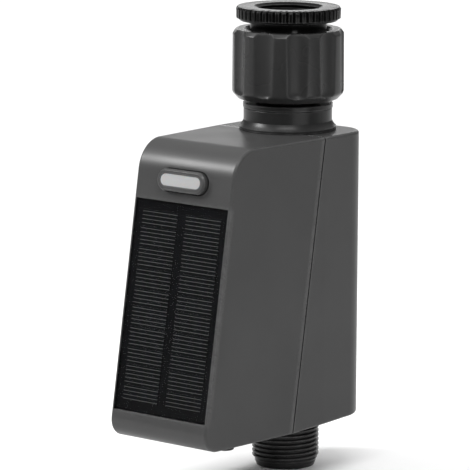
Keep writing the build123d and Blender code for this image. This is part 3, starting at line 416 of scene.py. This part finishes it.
def woven_mesh(name):
    """Fine woven steel: crossing wires round the cone."""
    made = Finish(name, Metallic=1.0)
    weave = made.node("ShaderNodeTexWave", wave_type="BANDS", bands_direction="Z")
    made.feed(weave, "Vector", made.place)
    made.feed(weave, "Scale", 420.0)
    across = made.node("ShaderNodeTexWave", wave_type="BANDS", bands_direction="DIAGONAL")
    made.feed(across, "Vector", made.stretched((1.0, 1.0, 0.05)))
    made.feed(across, "Scale", 420.0)
    threads = made.maths("MAXIMUM", weave.outputs["Fac"], across.outputs["Fac"])
    body = made.mix(made.spread(threads, 0.35, 0.8), (0.03, 0.03, 0.03, 1.0), (0.60, 0.59, 0.56, 1.0))
    return made.surface(Base_Color=body, Roughness=made.spread(threads, 0.0, 1.0, 0.6, 0.3),
                        Normal=made.bump(threads, 0.05 * MM, 0.8))


def pale_floor(name):
    """Matt white floor, faintly uneven."""
    made = Finish(name, Specular_IOR_Level=0.2)
    body = made.mix(made.spread(made.noise(3.0, 3.0), 0.3, 0.7), grey(0.90), grey(0.92))
    return made.surface(Base_Color=body, Roughness=made.spread(made.noise(8.0), 0.3, 0.7, 0.75, 0.85),
                        Normal=made.bump(made.noise(60.0), 0.05 * MM, 0.2))


# ---- materials by the record's slots ----
FINISHES = {
    "housing_plastic": moulded("housing_plastic", 0.036, 0.35, reach=1.5 * MM, wear_and_glint_share=0.5, wear_and_glint_grey=0.08,
                               shine=0.20, gloss=0.19, grime_and_groove_shade=0.9),
    "nut_plastic": moulded("nut_plastic", 0.018, 0.28, grain=4200.0, depth=0.005 * MM, reach=1.1 * MM,
                           wear_and_glint_share=0.6, wear_and_glint_grey=0.06, shine=0.15, gloss=0.20),
    "black_plastic": moulded("black_plastic", 0.0022, 0.20, grain=3800.0, depth=0.003 * MM, edge=0.15 * MM,
                             reach=0.5 * MM, wear_and_glint_share=0.8, wear_and_glint_grey=0.05, gloss=0.07),
    "valve_plastic": moulded("valve_plastic", 0.0145, 0.30, grain=4200.0, depth=0.005 * MM, reach=0.6 * MM,
                             wear_and_glint_share=0.7, wear_and_glint_grey=0.10, shine=0.12, gloss=0.18),
    "button_plastic": moulded("button_plastic", 0.036, 0.36, grain=4200.0, depth=0.006 * MM, reach=0.8 * MM,
                              wear_and_glint_share=0.7, wear_and_glint_grey=0.10, shine=0.14, gloss=0.20, grime_and_groove_shade=0.9),
    "filter_plastic": moulded("filter_plastic", 0.10, 0.42, grain=2600.0, tint=(1.0, 1.0, 1.02),
                              wear_and_glint_grey=0.2, gloss=0.4),
    "rubber_black": rubber("rubber_black", 0.012),
    "silicone_grey": rubber("silicone_grey", 0.16, 0.5),
    "lens_white": translucent("lens_white", 0.28, 0.34),
    "solar_clear": clear_cover("solar_clear"),
    "solar_back": solar_silicon("solar_back", 0.0035),
    "solar_cell": solar_silicon("solar_cell", 0.0042),
    "board_green": circuit_board("board_green"),
    "chip_black": chip_resin("chip_black"),
    "can_metal": metal("can_metal", (0.66, 0.66, 0.64, 1.0), 0.30),
    "steel": metal("steel", (0.56, 0.57, 0.58, 1.0), 0.26, brushed=(1.0, 1.0, 8.0)),
    "brass_plated": metal("brass_plated", (0.72, 0.68, 0.62, 1.0), 0.22, brushed=(1.0, 4.0, 1.0)),
    "brass_plain": metal("brass_plain", (0.62, 0.44, 0.16, 1.0), 0.28, brushed=(6.0, 1.0, 1.0)),
    "battery_wrap": battery_sleeve("battery_wrap"),
    "acetal_white": translucent("acetal_white", 0.72, 0.36, tint=(1.0, 0.99, 0.95)),
    "ptfe_white": translucent("ptfe_white", 0.80, 0.50),
    "wire_red": wire_pair("wire_red"),
    "wire_black": moulded("wire_black", 0.010, 0.45, grain=2000.0),
}
SILVER = silver_print("silver_print", 0.11)


def dress_nodes():
    """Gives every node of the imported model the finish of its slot."""
    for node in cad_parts.values():
        for slot in node.material_slots:
            slot_name = slot.material.name.split(".")[0]
            slot.material = FINISHES[slot_name]
    filter_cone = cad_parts["inlet_filter_mesh"]
    filter_cone.material_slots[0].material = woven_mesh("woven_mesh")


# ---- mesh tools ----
WELD = 0.0005 * MM
FLANK_START = 0.30  # where a thread's flank leaves the root, as a share of half a pitch
FLANK_RUN = 0.44


class Lathe:
    """Closed surface about the Z axis, built ring by ring along its outline."""

    def __init__(self):
        self.mesh = bmesh.new()
        self.first = None
        self.last = None

    def points(self, radius, z, count):
        """A ring's points; the radius may be a function of the angle."""
        ring = []
        for step in range(count):
            angle = TURN * step / count
            reach = radius(angle) if callable(radius) else radius
            ring.append(self.mesh.verts.new((reach * math.cos(angle), reach * math.sin(angle), z)))
        return ring

    def ring(self, radius, z, count):
        """Adds a ring and the wall up to it."""
        made = self.points(radius, z, count)
        if self.last is None:
            self.first = made
        else:
            self.bridge(self.last, made)
        self.last = made

    def bridge(self, one, two):
        """Faces between two rings whose counts divide each other."""
        few, many = (one, two) if len(one) <= len(two) else (two, one)
        share = len(many) // len(few)
        for step in range(len(few)):
            after = (step + 1) % len(few)
            run = [many[(step * share + i) % len(many)] for i in range(share + 1)]
            self.mesh.faces.new([few[after], few[step]] + run)

    def thread(self, root, crest, z0, z1, pitch, count, rows=12, fade=0.9, phase=0.0):
        """Helical thread between two heights.

        It fades into the root radius over fade pitches at both ends, has rows of faces to a pitch, and
        its groove meets angle 0 at the height phase.
        """
        up = z1 > z0
        low, high = min(z0, z1), max(z0, z1)

        def reach(angle, z):
            turns = (z - phase) / pitch - angle / TURN
            ramp = 1 - abs(2 * (turns % 1.0) - 1)
            height = min(1.0, max(0.0, (ramp - FLANK_START) / FLANK_RUN))
            height = height * height * (3 - 2 * height)
            ends = min(1.0, (z - low) / (fade * pitch), (high - z) / (fade * pitch))
            return root + (crest - root) * height * max(0.0, ends)

        start = low - pitch
        total = math.ceil((high - start) / pitch * rows) + rows
        grid = []
        for row in range(total + 1):
            line = []
            for step in range(count):
                angle = TURN * step / count
                z = start + pitch * (row / rows + angle / TURN)
                z = min(high, max(low, z))
                line.append(self.mesh.verts.new(
                    (reach(angle, z) * math.cos(angle), reach(angle, z) * math.sin(angle), z)))
            grid.append(line)
        for row in range(total):
            for step in range(count - 1):
                self.mesh.faces.new((grid[row][step], grid[row][step + 1],
                                     grid[row + 1][step + 1], grid[row + 1][step]))
            if row + rows + 1 <= total:
                self.mesh.faces.new((grid[row][-1], grid[row + rows][0],
                                     grid[row + rows + 1][0], grid[row + 1][-1]))
        self.last = self.points(root, high if up else low, count)

    def closed(self, name, sharp=32):
        """Joins the last ring to the first and makes the object."""
        self.bridge(self.last, self.first)
        bmesh.ops.remove_doubles(self.mesh, verts=self.mesh.verts, dist=WELD)
        bmesh.ops.dissolve_degenerate(self.mesh, edges=self.mesh.edges, dist=WELD)
        return placed(name, self.mesh, sharp)


def linked(name, mesh):
    """Object in the scene from a mesh under work, which is freed."""
    data = bpy.data.meshes.new(name)
    mesh.to_mesh(data)
    mesh.free()
    made = bpy.data.objects.new(name, data)
    bpy.context.scene.collection.objects.link(made)
    return made


def placed(name, mesh, sharp=32):
    """Smooth-shaded object, faces outwards, with sharp creases over an angle in degrees."""
    bmesh.ops.recalc_face_normals(mesh, faces=mesh.faces)
    made = linked(name, mesh)
    made.data.shade_smooth()
    made.data.set_sharp_from_angle(angle=math.radians(sharp))
    return made


def rounded(corners, steps=4):
    """Outline points from (radius, z, corner radius) corners, arcs at the rounded ones."""
    outline = []
    for index, (r, z, bend) in enumerate(corners):
        here = Vector((r, z))
        if bend == 0 or index in (0, len(corners) - 1):
            outline.append(here)
            continue
        before = (Vector(corners[index - 1][:2]) - here).normalized()
        after = (Vector(corners[index + 1][:2]) - here).normalized()
        half = before.angle(after) / 2
        centre = here + (before + after).normalized() * bend / math.sin(half)
        start = here + before * bend / math.tan(half) - centre
        end = here + after * bend / math.tan(half) - centre
        sweep = -start.angle_signed(end)
        for step in range(steps + 1):
            arm = start.copy()
            arm.rotate(Matrix.Rotation(sweep * step / steps, 2))
            outline.append(centre + arm)
    return outline


def face_box(mesh, u, v, d):
    """Adds a closed box that lies along the leaning front face, from its low and high u, v and d."""
    corners = [on_face(u[i], v[j], depth) for depth in d for i, j in ((0, 0), (1, 0), (1, 1), (0, 1))]
    verts = [mesh.verts.new(corner) for corner in corners]
    for side in ((0, 3, 2, 1), (4, 5, 6, 7), (0, 1, 5, 4), (1, 2, 6, 5), (2, 3, 7, 6), (3, 0, 4, 7)):
        mesh.faces.new([verts[corner] for corner in side])


def on_face(u, v, d):
    """Point on the leaning front face, d into it."""
    return FACE_ORIGIN + Vector((u, 0, 0)) + FACE_UP * v + FACE_IN * d


def finished(piece, body, node, material):
    """Puts a built piece on its body, in place of a node if one is named."""
    piece.data.materials.append(material)
    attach(piece, body)
    if node:
        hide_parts(node)
    return piece


# ---- outlet fitting ----
def outlet_fitting():
    """Lower valve half with a true helical hose thread and four screw holes."""
    count = 128
    end, top = OUTLET_END_Z, OUTLET_TOP_Z
    inside = rounded([
        (OUTLET_BORE_R, top, 0), (OUTLET_BORE_R, end + OUTLET_MOUTH_R - OUTLET_BORE_R, 0),
        (OUTLET_MOUTH_R, end, 0),
    ])
    tip = rounded([
        (OUTLET_MOUTH_R, end, 0), (OUTLET_TIP_R, end, 0.25 * MM),
        (PIPE_ROOT_R, OUTLET_THREAD_Z[0] - 0.7 * MM, 0.4 * MM), (PIPE_ROOT_R, OUTLET_THREAD_Z[0], 0),
    ])
    lathe = Lathe()
    for point in inside + tip[1:]:
        lathe.ring(point.x, point.y, count)
    lathe.thread(PIPE_ROOT_R, PIPE_CREST_R, *OUTLET_THREAD_Z, PIPE_PITCH, count)
    shoulder = rounded([
        (PIPE_ROOT_R, OUTLET_THREAD_Z[1], 0), (PIPE_ROOT_R, FLANGE_Z[0], 0.2 * MM),
        (FLANGE_R, FLANGE_Z[0], 0.3 * MM), (FLANGE_R, FLANGE_Z[1], 0.3 * MM),
        (BARREL_R, BARREL_Z[0], 0.6 * MM), (BARREL_R, BARREL_Z[1], 0.6 * MM),
        (JOINT_R, BARREL_Z[1], 0.4 * MM), (JOINT_R, JOINT_Z, 0.15 * MM),
        (SPIGOT_R, JOINT_Z, 0), (SPIGOT_R, top, 0.2 * MM), (OUTLET_BORE_R, top, 0),
    ])
    for point in shoulder[1:-1]:
        lathe.ring(point.x, point.y, count)
    fitting = lathe.closed("outlet_fitting_threaded")
    drill(fitting, [math.radians(45) + TURN * screw / SCREWS for screw in range(SCREWS)])
    return finished(fitting, "timer", "outlet_fitting", FINISHES["valve_plastic"])


def drill(piece, angles):
    """Cuts the upright screw holes at these angles."""
    low, high = SCREW_HOLE_Z
    cutter = bmesh.new()
    for angle in angles:
        middle = Vector((SCREW_CIRCLE_R * math.cos(angle), SCREW_CIRCLE_R * math.sin(angle),
                         (low + high) / 2))
        bmesh.ops.create_cone(cutter, cap_ends=True, segments=24, radius1=SCREW_HOLE_R,
                              radius2=SCREW_HOLE_R, depth=high - low, matrix=Matrix.Translation(middle))
    tool = linked("drill", cutter)
    cut = piece.modifiers.new("holes", "BOOLEAN")
    cut.operation = "DIFFERENCE"
    cut.solver = "EXACT"
    cut.object = tool
    graph = bpy.context.evaluated_depsgraph_get()
    cut_data = bpy.data.meshes.new_from_object(piece.evaluated_get(graph))
    piece.modifiers.clear()
    plain = piece.data
    piece.data = cut_data
    bpy.data.meshes.remove(plain)
    bpy.data.objects.remove(tool)


# ---- swivel nut ----
def swivel_nut():
    """Nut with ten tapered finger scallops, rounded shoulders and an inside thread."""
    count, inner = 320, 160
    low, high = NUT_LOW, NUT_HIGH
    outline = rounded([
        (NUT_BORE_R + 1.2 * MM, low, 0), (NUT_R - 2.3 * MM, low, 0.4 * MM),
        (NUT_R, low + 2.5 * MM, 2.2 * MM), (NUT_R - 0.1 * MM, high - 1.6 * MM, 1.0 * MM),
        (NUT_R - 1.3 * MM, high, 0.3 * MM),
        (NUT_BORE_R + 1.0 * MM, high, 0.15 * MM), (NUT_BORE_R + 0.4 * MM, high - 0.9 * MM, 0),
    ], steps=5)
    lathe = Lathe()
    for point in divided(outline, 1.3 * MM):
        lathe.ring(scalloped(point.x, point.y), point.y, count)
    lathe.ring(outline[-1].x, outline[-1].y, inner)
    web_low, web_top = NUT_WEB_Z
    top_thread = high - 1.3 * MM
    lathe.ring(NUT_BORE_R, top_thread, inner)
    lathe.thread(NUT_BORE_R, NUT_BORE_R + NUT_THREAD_DEPTH, top_thread, web_top + 1.0 * MM, COARSE_PITCH,
                 inner, phase=REDUCER_LOW)
    for r, z in ((NUT_BORE_R, web_top), (NUT_NECK_R + 0.3 * MM, web_top), (NUT_NECK_R, web_top - 0.3 * MM),
                 (NUT_NECK_R, web_low + 0.3 * MM), (NUT_NECK_R + 0.3 * MM, web_low),
                 (NUT_BORE_R + 0.9 * MM, web_low), (NUT_BORE_R + 1.2 * MM, web_low - 0.3 * MM)):
        lathe.ring(r, z, inner)
    nut = lathe.closed("swivel_nut_ribbed", 38)
    return finished(nut, "nut", "swivel_nut", FINISHES["nut_plastic"])


def divided(outline, longest):
    """Outline with its runs cut into steps no longer than this, without its last point."""
    points = []
    for before, after in zip(outline, outline[1:]):
        steps = max(1, math.ceil((after - before).length / longest))
        points += [before.lerp(after, step / steps) for step in range(steps)]
    return points


def scalloped(reach, z):
    """A ring of the nut's outside, cut by the finger scallops where they reach it."""
    rise = (z - NUT_LOW) / (NUT_HIGH - NUT_LOW)
    start = min(1.0, max(0.0, (z - NUT_LOW - SCALLOP_START) / SCALLOP_RUN_IN))
    full = SCALLOP_DEPTH[0] + (SCALLOP_DEPTH[1] - SCALLOP_DEPTH[0]) * rise
    depth = full * math.sqrt(start * (2 - start))
    if reach < NUT_R - 2.6 * MM or depth <= 0:
        return reach
    centre = NUT_R + SCALLOP_R - depth
    soft = 0.22 * MM

    def at(angle):
        turn = (angle - SCALLOP_ANGLE) * SCALLOPS / TURN
        off = (turn - round(turn)) * TURN / SCALLOPS
        chord = SCALLOP_R ** 2 - (centre * math.sin(off)) ** 2
        if chord <= 0:
            return reach
        hollow = centre * math.cos(off) - math.sqrt(chord)
        near = max(0.0, soft - abs(reach - hollow)) / soft
        return min(reach, hollow) - near * near * soft / 4
    return at


# ---- reducer ----
def knurl_radius(angle):
    """Radius of the collar's knurl at an angle: flat teeth with narrow grooves between."""
    turn = angle * COLLAR_TEETH / TURN
    off = abs(turn - round(turn))
    groove = max(0.0, 1 - off / TOOTH_GROOVE_SHARE)
    return COLLAR_R - TOOTH_GROOVE * groove ** 0.7


def reducer():
    """Threaded adapter: helical thread outside and inside, knurled collar on top."""
    count, knurl = 128, COLLAR_TEETH * 8
    low, high = REDUCER_LOW, REDUCER_HIGH
    thread_low = low + 0.8 * MM
    lathe = Lathe()
    for r, z in ((REDUCER_BORE_R, low), (14.6 * MM, low), (REDUCER_ROOT_R, thread_low)):
        lathe.ring(r, z, count)
    lathe.thread(REDUCER_ROOT_R, REDUCER_CREST_R, thread_low, REDUCER_THREAD_TOP, COARSE_PITCH, count,
                 phase=REDUCER_LOW)
    for r, z in ((UNDERCUT_R, REDUCER_THREAD_TOP + 0.6 * MM), (UNDERCUT_R, COLLAR_LOW - 0.5 * MM),
                 (UNDERCUT_R + 0.5 * MM, COLLAR_LOW)):
        lathe.ring(r, z, count)
    collar = rounded([
        (UNDERCUT_R + 0.5 * MM, COLLAR_LOW, 0), (COLLAR_FOOT_R, COLLAR_LOW, 0.3 * MM),
        (COLLAR_FOOT_R + 0.25 * MM, COLLAR_LOW + 0.8 * MM, 0.1 * MM),
        (COLLAR_R - 0.1 * MM, COLLAR_LOW + 0.95 * MM, 0.1 * MM),
        (COLLAR_R, high - 0.85 * MM, 0.08 * MM), (COLLAR_R - 0.55 * MM, high, 0.12 * MM),
        (TOP_STEP_R, high, 0),
    ])
    for point in collar[1:-1]:
        lathe.ring(notched(point.x), point.y, knurl)
    thread_top = high - 0.9 * MM
    for r, z in ((TOP_STEP_R, high), (13.6 * MM, high), (13.25 * MM, high - 0.3 * MM),
                 (PIPE_ROOT_R, thread_top)):
        lathe.ring(r, z, count)
    lathe.thread(PIPE_ROOT_R, PIPE_CREST_R, thread_top, SEALING_Z + 0.3 * MM, PIPE_PITCH, count)
    seat_z = SEALING_Z - WASHER_SEAT_DEPTH
    for r, z in ((PIPE_ROOT_R, SEALING_Z), (WASHER_SEAT_R, SEALING_Z), (WASHER_SEAT_R, seat_z),
                 (REDUCER_BORE_R, seat_z)):
        lathe.ring(r, z, count)
    adapter = lathe.closed("reducer_knurled")
    return finished(adapter, "reducer", "reducer", FINISHES["black_plastic"])


def notched(reach):
    """A collar ring cut by the grooves where it reaches past their floor."""
    def at(angle):
        return min(reach, knurl_radius(angle))
    return at


# ---- solar cells and their printed lines ----
def line_places():
    """Heights up the face of every printed line, strip by strip, and the step between lines."""
    steps = sum(LINE_GROUPS) - len(LINE_GROUPS) + GROUP_GAP * (len(LINE_GROUPS) - 1)
    pitch = (LINE_V[1] - LINE_V[0]) / steps
    strips, v = [], LINE_V[0]
    for lines in LINE_GROUPS:
        strips.append([v + pitch * line for line in range(lines)])
        v = strips[-1][-1] + GROUP_GAP * pitch
    return strips, pitch


def column(side, inset=0.0):
    """Low and high u of the cells' left or right column."""
    return sorted((side * (CELL_U[0] + inset), side * (CELL_U[1] - inset)))


def solar_cells():
    """Cell strips in two columns."""
    strips, pitch = line_places()
    margin = GROUP_GAP * pitch / 2 - STRIP_GAP / 2
    mesh = bmesh.new()
    for side in (-1, 1):
        for lines in strips:
            face_box(mesh, column(side), (lines[0] - margin, lines[-1] + margin), CELL_D)
    cells = placed("solar_cell_strips", mesh)
    return finished(cells, "timer", "solar_cells", FINISHES["solar_cell"])


def solar_lines():
    """Printed silver lines across each strip."""
    strips, _ = line_places()
    mesh = bmesh.new()
    for side in (-1, 1):
        for lines in strips:
            for v in lines:
                face_box(mesh, column(side, LINE_INSET), (v - LINE_WIDTH / 2, v + LINE_WIDTH / 2), LINE_D)
    printed = placed("solar_lines", mesh)
    return finished(printed, "timer", None, SILVER)


# ---- stage, light and camera ----
CAMERA_PLACE = Vector((0.9825, -1.2192, 0.19706))
CAMERA_HEADING = math.radians(39.611)
CAMERA_PITCH = math.radians(9.984)
CAMERA_ROLL = math.radians(0.301)
CAMERA_LENS = 309.33
SENSOR = 36.0
FLOOR_R = 14.0
OBJECT_MIDDLE = (0, -0.03, -0.08)


def pale_stage():
    """Wide white floor just under the object's lowest point."""
    mesh = bmesh.new()
    bmesh.ops.create_circle(mesh, cap_ends=True, radius=FLOOR_R, segments=96)
    floor = linked("floor", mesh)
    floor.location = (0, 0, FLOOR_Z - 0.1 * MM)
    floor.data.materials.append(pale_floor("pale_floor"))


def hang(name, lamp, direction, distance, target=OBJECT_MIDDLE):
    """Hangs a lamp in a direction from its target, facing it and unseen by the camera."""
    made = bpy.data.objects.new(name, lamp)
    away = Vector(direction).normalized()
    made.location = Vector(target) + away * distance
    made.rotation_mode = "QUATERNION"
    made.rotation_quaternion = away.to_track_quat("Z", "Y")
    made.visible_camera = False
    bpy.context.scene.collection.objects.link(made)


def softbox(name, direction, distance, size, power, target=OBJECT_MIDDLE):
    """Rectangular soft light."""
    lamp = bpy.data.lights.new(name, "AREA")
    lamp.shape = "RECTANGLE"
    lamp.size, lamp.size_y = size
    lamp.energy = power
    hang(name, lamp, direction, distance, target)


def low_strip(name, place, size, power):
    """Long low light standing just above the floor near the object, shining level."""
    target = Vector((0, OBJECT_MIDDLE[1], place[2]))
    away = Vector(place) - target
    softbox(name, away, away.length, size, power, target)


def broad_light(name, direction, power, spread):
    """Soft light from one direction, even over the whole floor; its distance makes no difference."""
    lamp = bpy.data.lights.new(name, "SUN")
    lamp.energy = power
    lamp.angle = math.radians(spread)
    hang(name, lamp, direction, 2.0)


def studio_sky():
    """Soft surround: bright overhead, dim round the horizon and dimmer towards +X."""
    world = bpy.data.worlds.new("studio")
    world.use_nodes = True
    bpy.context.scene.world = world
    tree = world.node_tree
    tree.nodes.clear()
    output = tree.nodes.new("ShaderNodeOutputWorld")
    back = tree.nodes.new("ShaderNodeBackground")
    place = tree.nodes.new("ShaderNodeTexCoord")

    def glow(towards, low, high, dim, bright):
        """Brightness that rises from dim to bright as a direction turns towards another."""
        along = tree.nodes.new("ShaderNodeVectorMath")
        along.operation = "DOT_PRODUCT"
        along.inputs[1].default_value = Vector(towards).normalized()
        tree.links.new(place.outputs["Generated"], along.inputs[0])
        share = tree.nodes.new("ShaderNodeMapRange")
        share.interpolation_type = "SMOOTHSTEP"
        tree.links.new(along.outputs["Value"], share.inputs["Value"])
        for socket, value in (("From Min", low), ("From Max", high), ("To Min", dim), ("To Max", bright)):
            share.inputs[socket].default_value = value
        return share.outputs["Result"]

    both = tree.nodes.new("ShaderNodeMath")
    both.operation = "MULTIPLY"
    tree.links.new(glow((0.10, 0.10, 0.99), 0.12, 1.00, 0.08, 1.30), both.inputs[0])
    tree.links.new(glow((1.0, 0.0, 0.0), 0.15, 0.85, 1.0, 0.45), both.inputs[1])
    tree.links.new(both.outputs["Value"], back.inputs["Strength"])
    back.inputs["Color"].default_value = (1.0, 1.0, 1.0, 1.0)
    tree.links.new(back.outputs["Background"], output.inputs["Surface"])


def dark_table():
    """Dark sheet on the floor in front of the object, seen only in its gloss."""
    ahead = Vector((math.sin(CAMERA_HEADING), -math.cos(CAMERA_HEADING), 0))
    across = Vector((math.cos(CAMERA_HEADING), math.sin(CAMERA_HEADING), 0))
    near, far, half_width = 0.11, 2.5, 1.5
    mesh = bmesh.new()
    corners = []
    for reach, side in ((near, -1), (near, 1), (far, 1), (far, -1)):
        corners.append(mesh.verts.new(ahead * reach + across * side * half_width))
    mesh.faces.new(corners)
    sheet = linked("dark_table", mesh)
    sheet.location = (0, 0, FLOOR_Z + 0.5 * MM)
    sheet.data.materials.append(rubber("table_cloth", 0.010, 0.8))
    sheet.visible_camera = False
    sheet.visible_diffuse = False
    sheet.visible_shadow = False
    sheet.visible_transmission = False


def lights():
    """One even key light and softboxes placed for their reflections on the housing, nut and neck."""
    broad_light("key", (-0.50, -0.42, 0.78), 0.70, 34)
    softbox("rounding_box", (-0.62, -0.56, 0.60), 0.9, (0.24, 0.20), 6.8)
    softbox("front_top", (0.33, -0.41, 0.85), 0.8, (0.45, 0.22), 3.0)
    softbox("edge_box", (0.75, -0.43, 0.47), 0.8, (0.16, 0.16), 0.9)
    low_strip("low_side", (0.40, -0.14, -0.115), (0.30, 0.09), 0.30)
    softbox("back_card", (-0.63, 0.76, 0.20), 1.8, (1.6, 0.3), 2.6)


def camera():
    """Long lens, a little above the object, ahead of it and to its +X side."""
    data = bpy.data.cameras.new("camera")
    data.sensor_width = SENSOR
    data.lens = CAMERA_LENS
    data.clip_end = 100.0
    made = bpy.data.objects.new("camera", data)
    level = math.cos(CAMERA_PITCH)
    ahead = Vector((-math.sin(CAMERA_HEADING) * level, math.cos(CAMERA_HEADING) * level,
                    -math.sin(CAMERA_PITCH)))
    right = ahead.cross(Vector((0, 0, 1))).normalized()
    up = right.cross(ahead)
    across = right * math.cos(CAMERA_ROLL) + up * math.sin(CAMERA_ROLL)
    upright = up * math.cos(CAMERA_ROLL) - right * math.sin(CAMERA_ROLL)
    turn = Matrix((across, upright, -ahead)).transposed().to_4x4()
    made.matrix_world = Matrix.Translation(CAMERA_PLACE) @ turn
    bpy.context.scene.collection.objects.link(made)
    bpy.context.scene.camera = made


camera()
pale_stage()
studio_sky()
dark_table()
lights()
bpy.context.scene.view_settings.view_transform = "Standard"

dress_nodes()
outlet_fitting()
swivel_nut()
reducer()
solar_cells()
solar_lines()
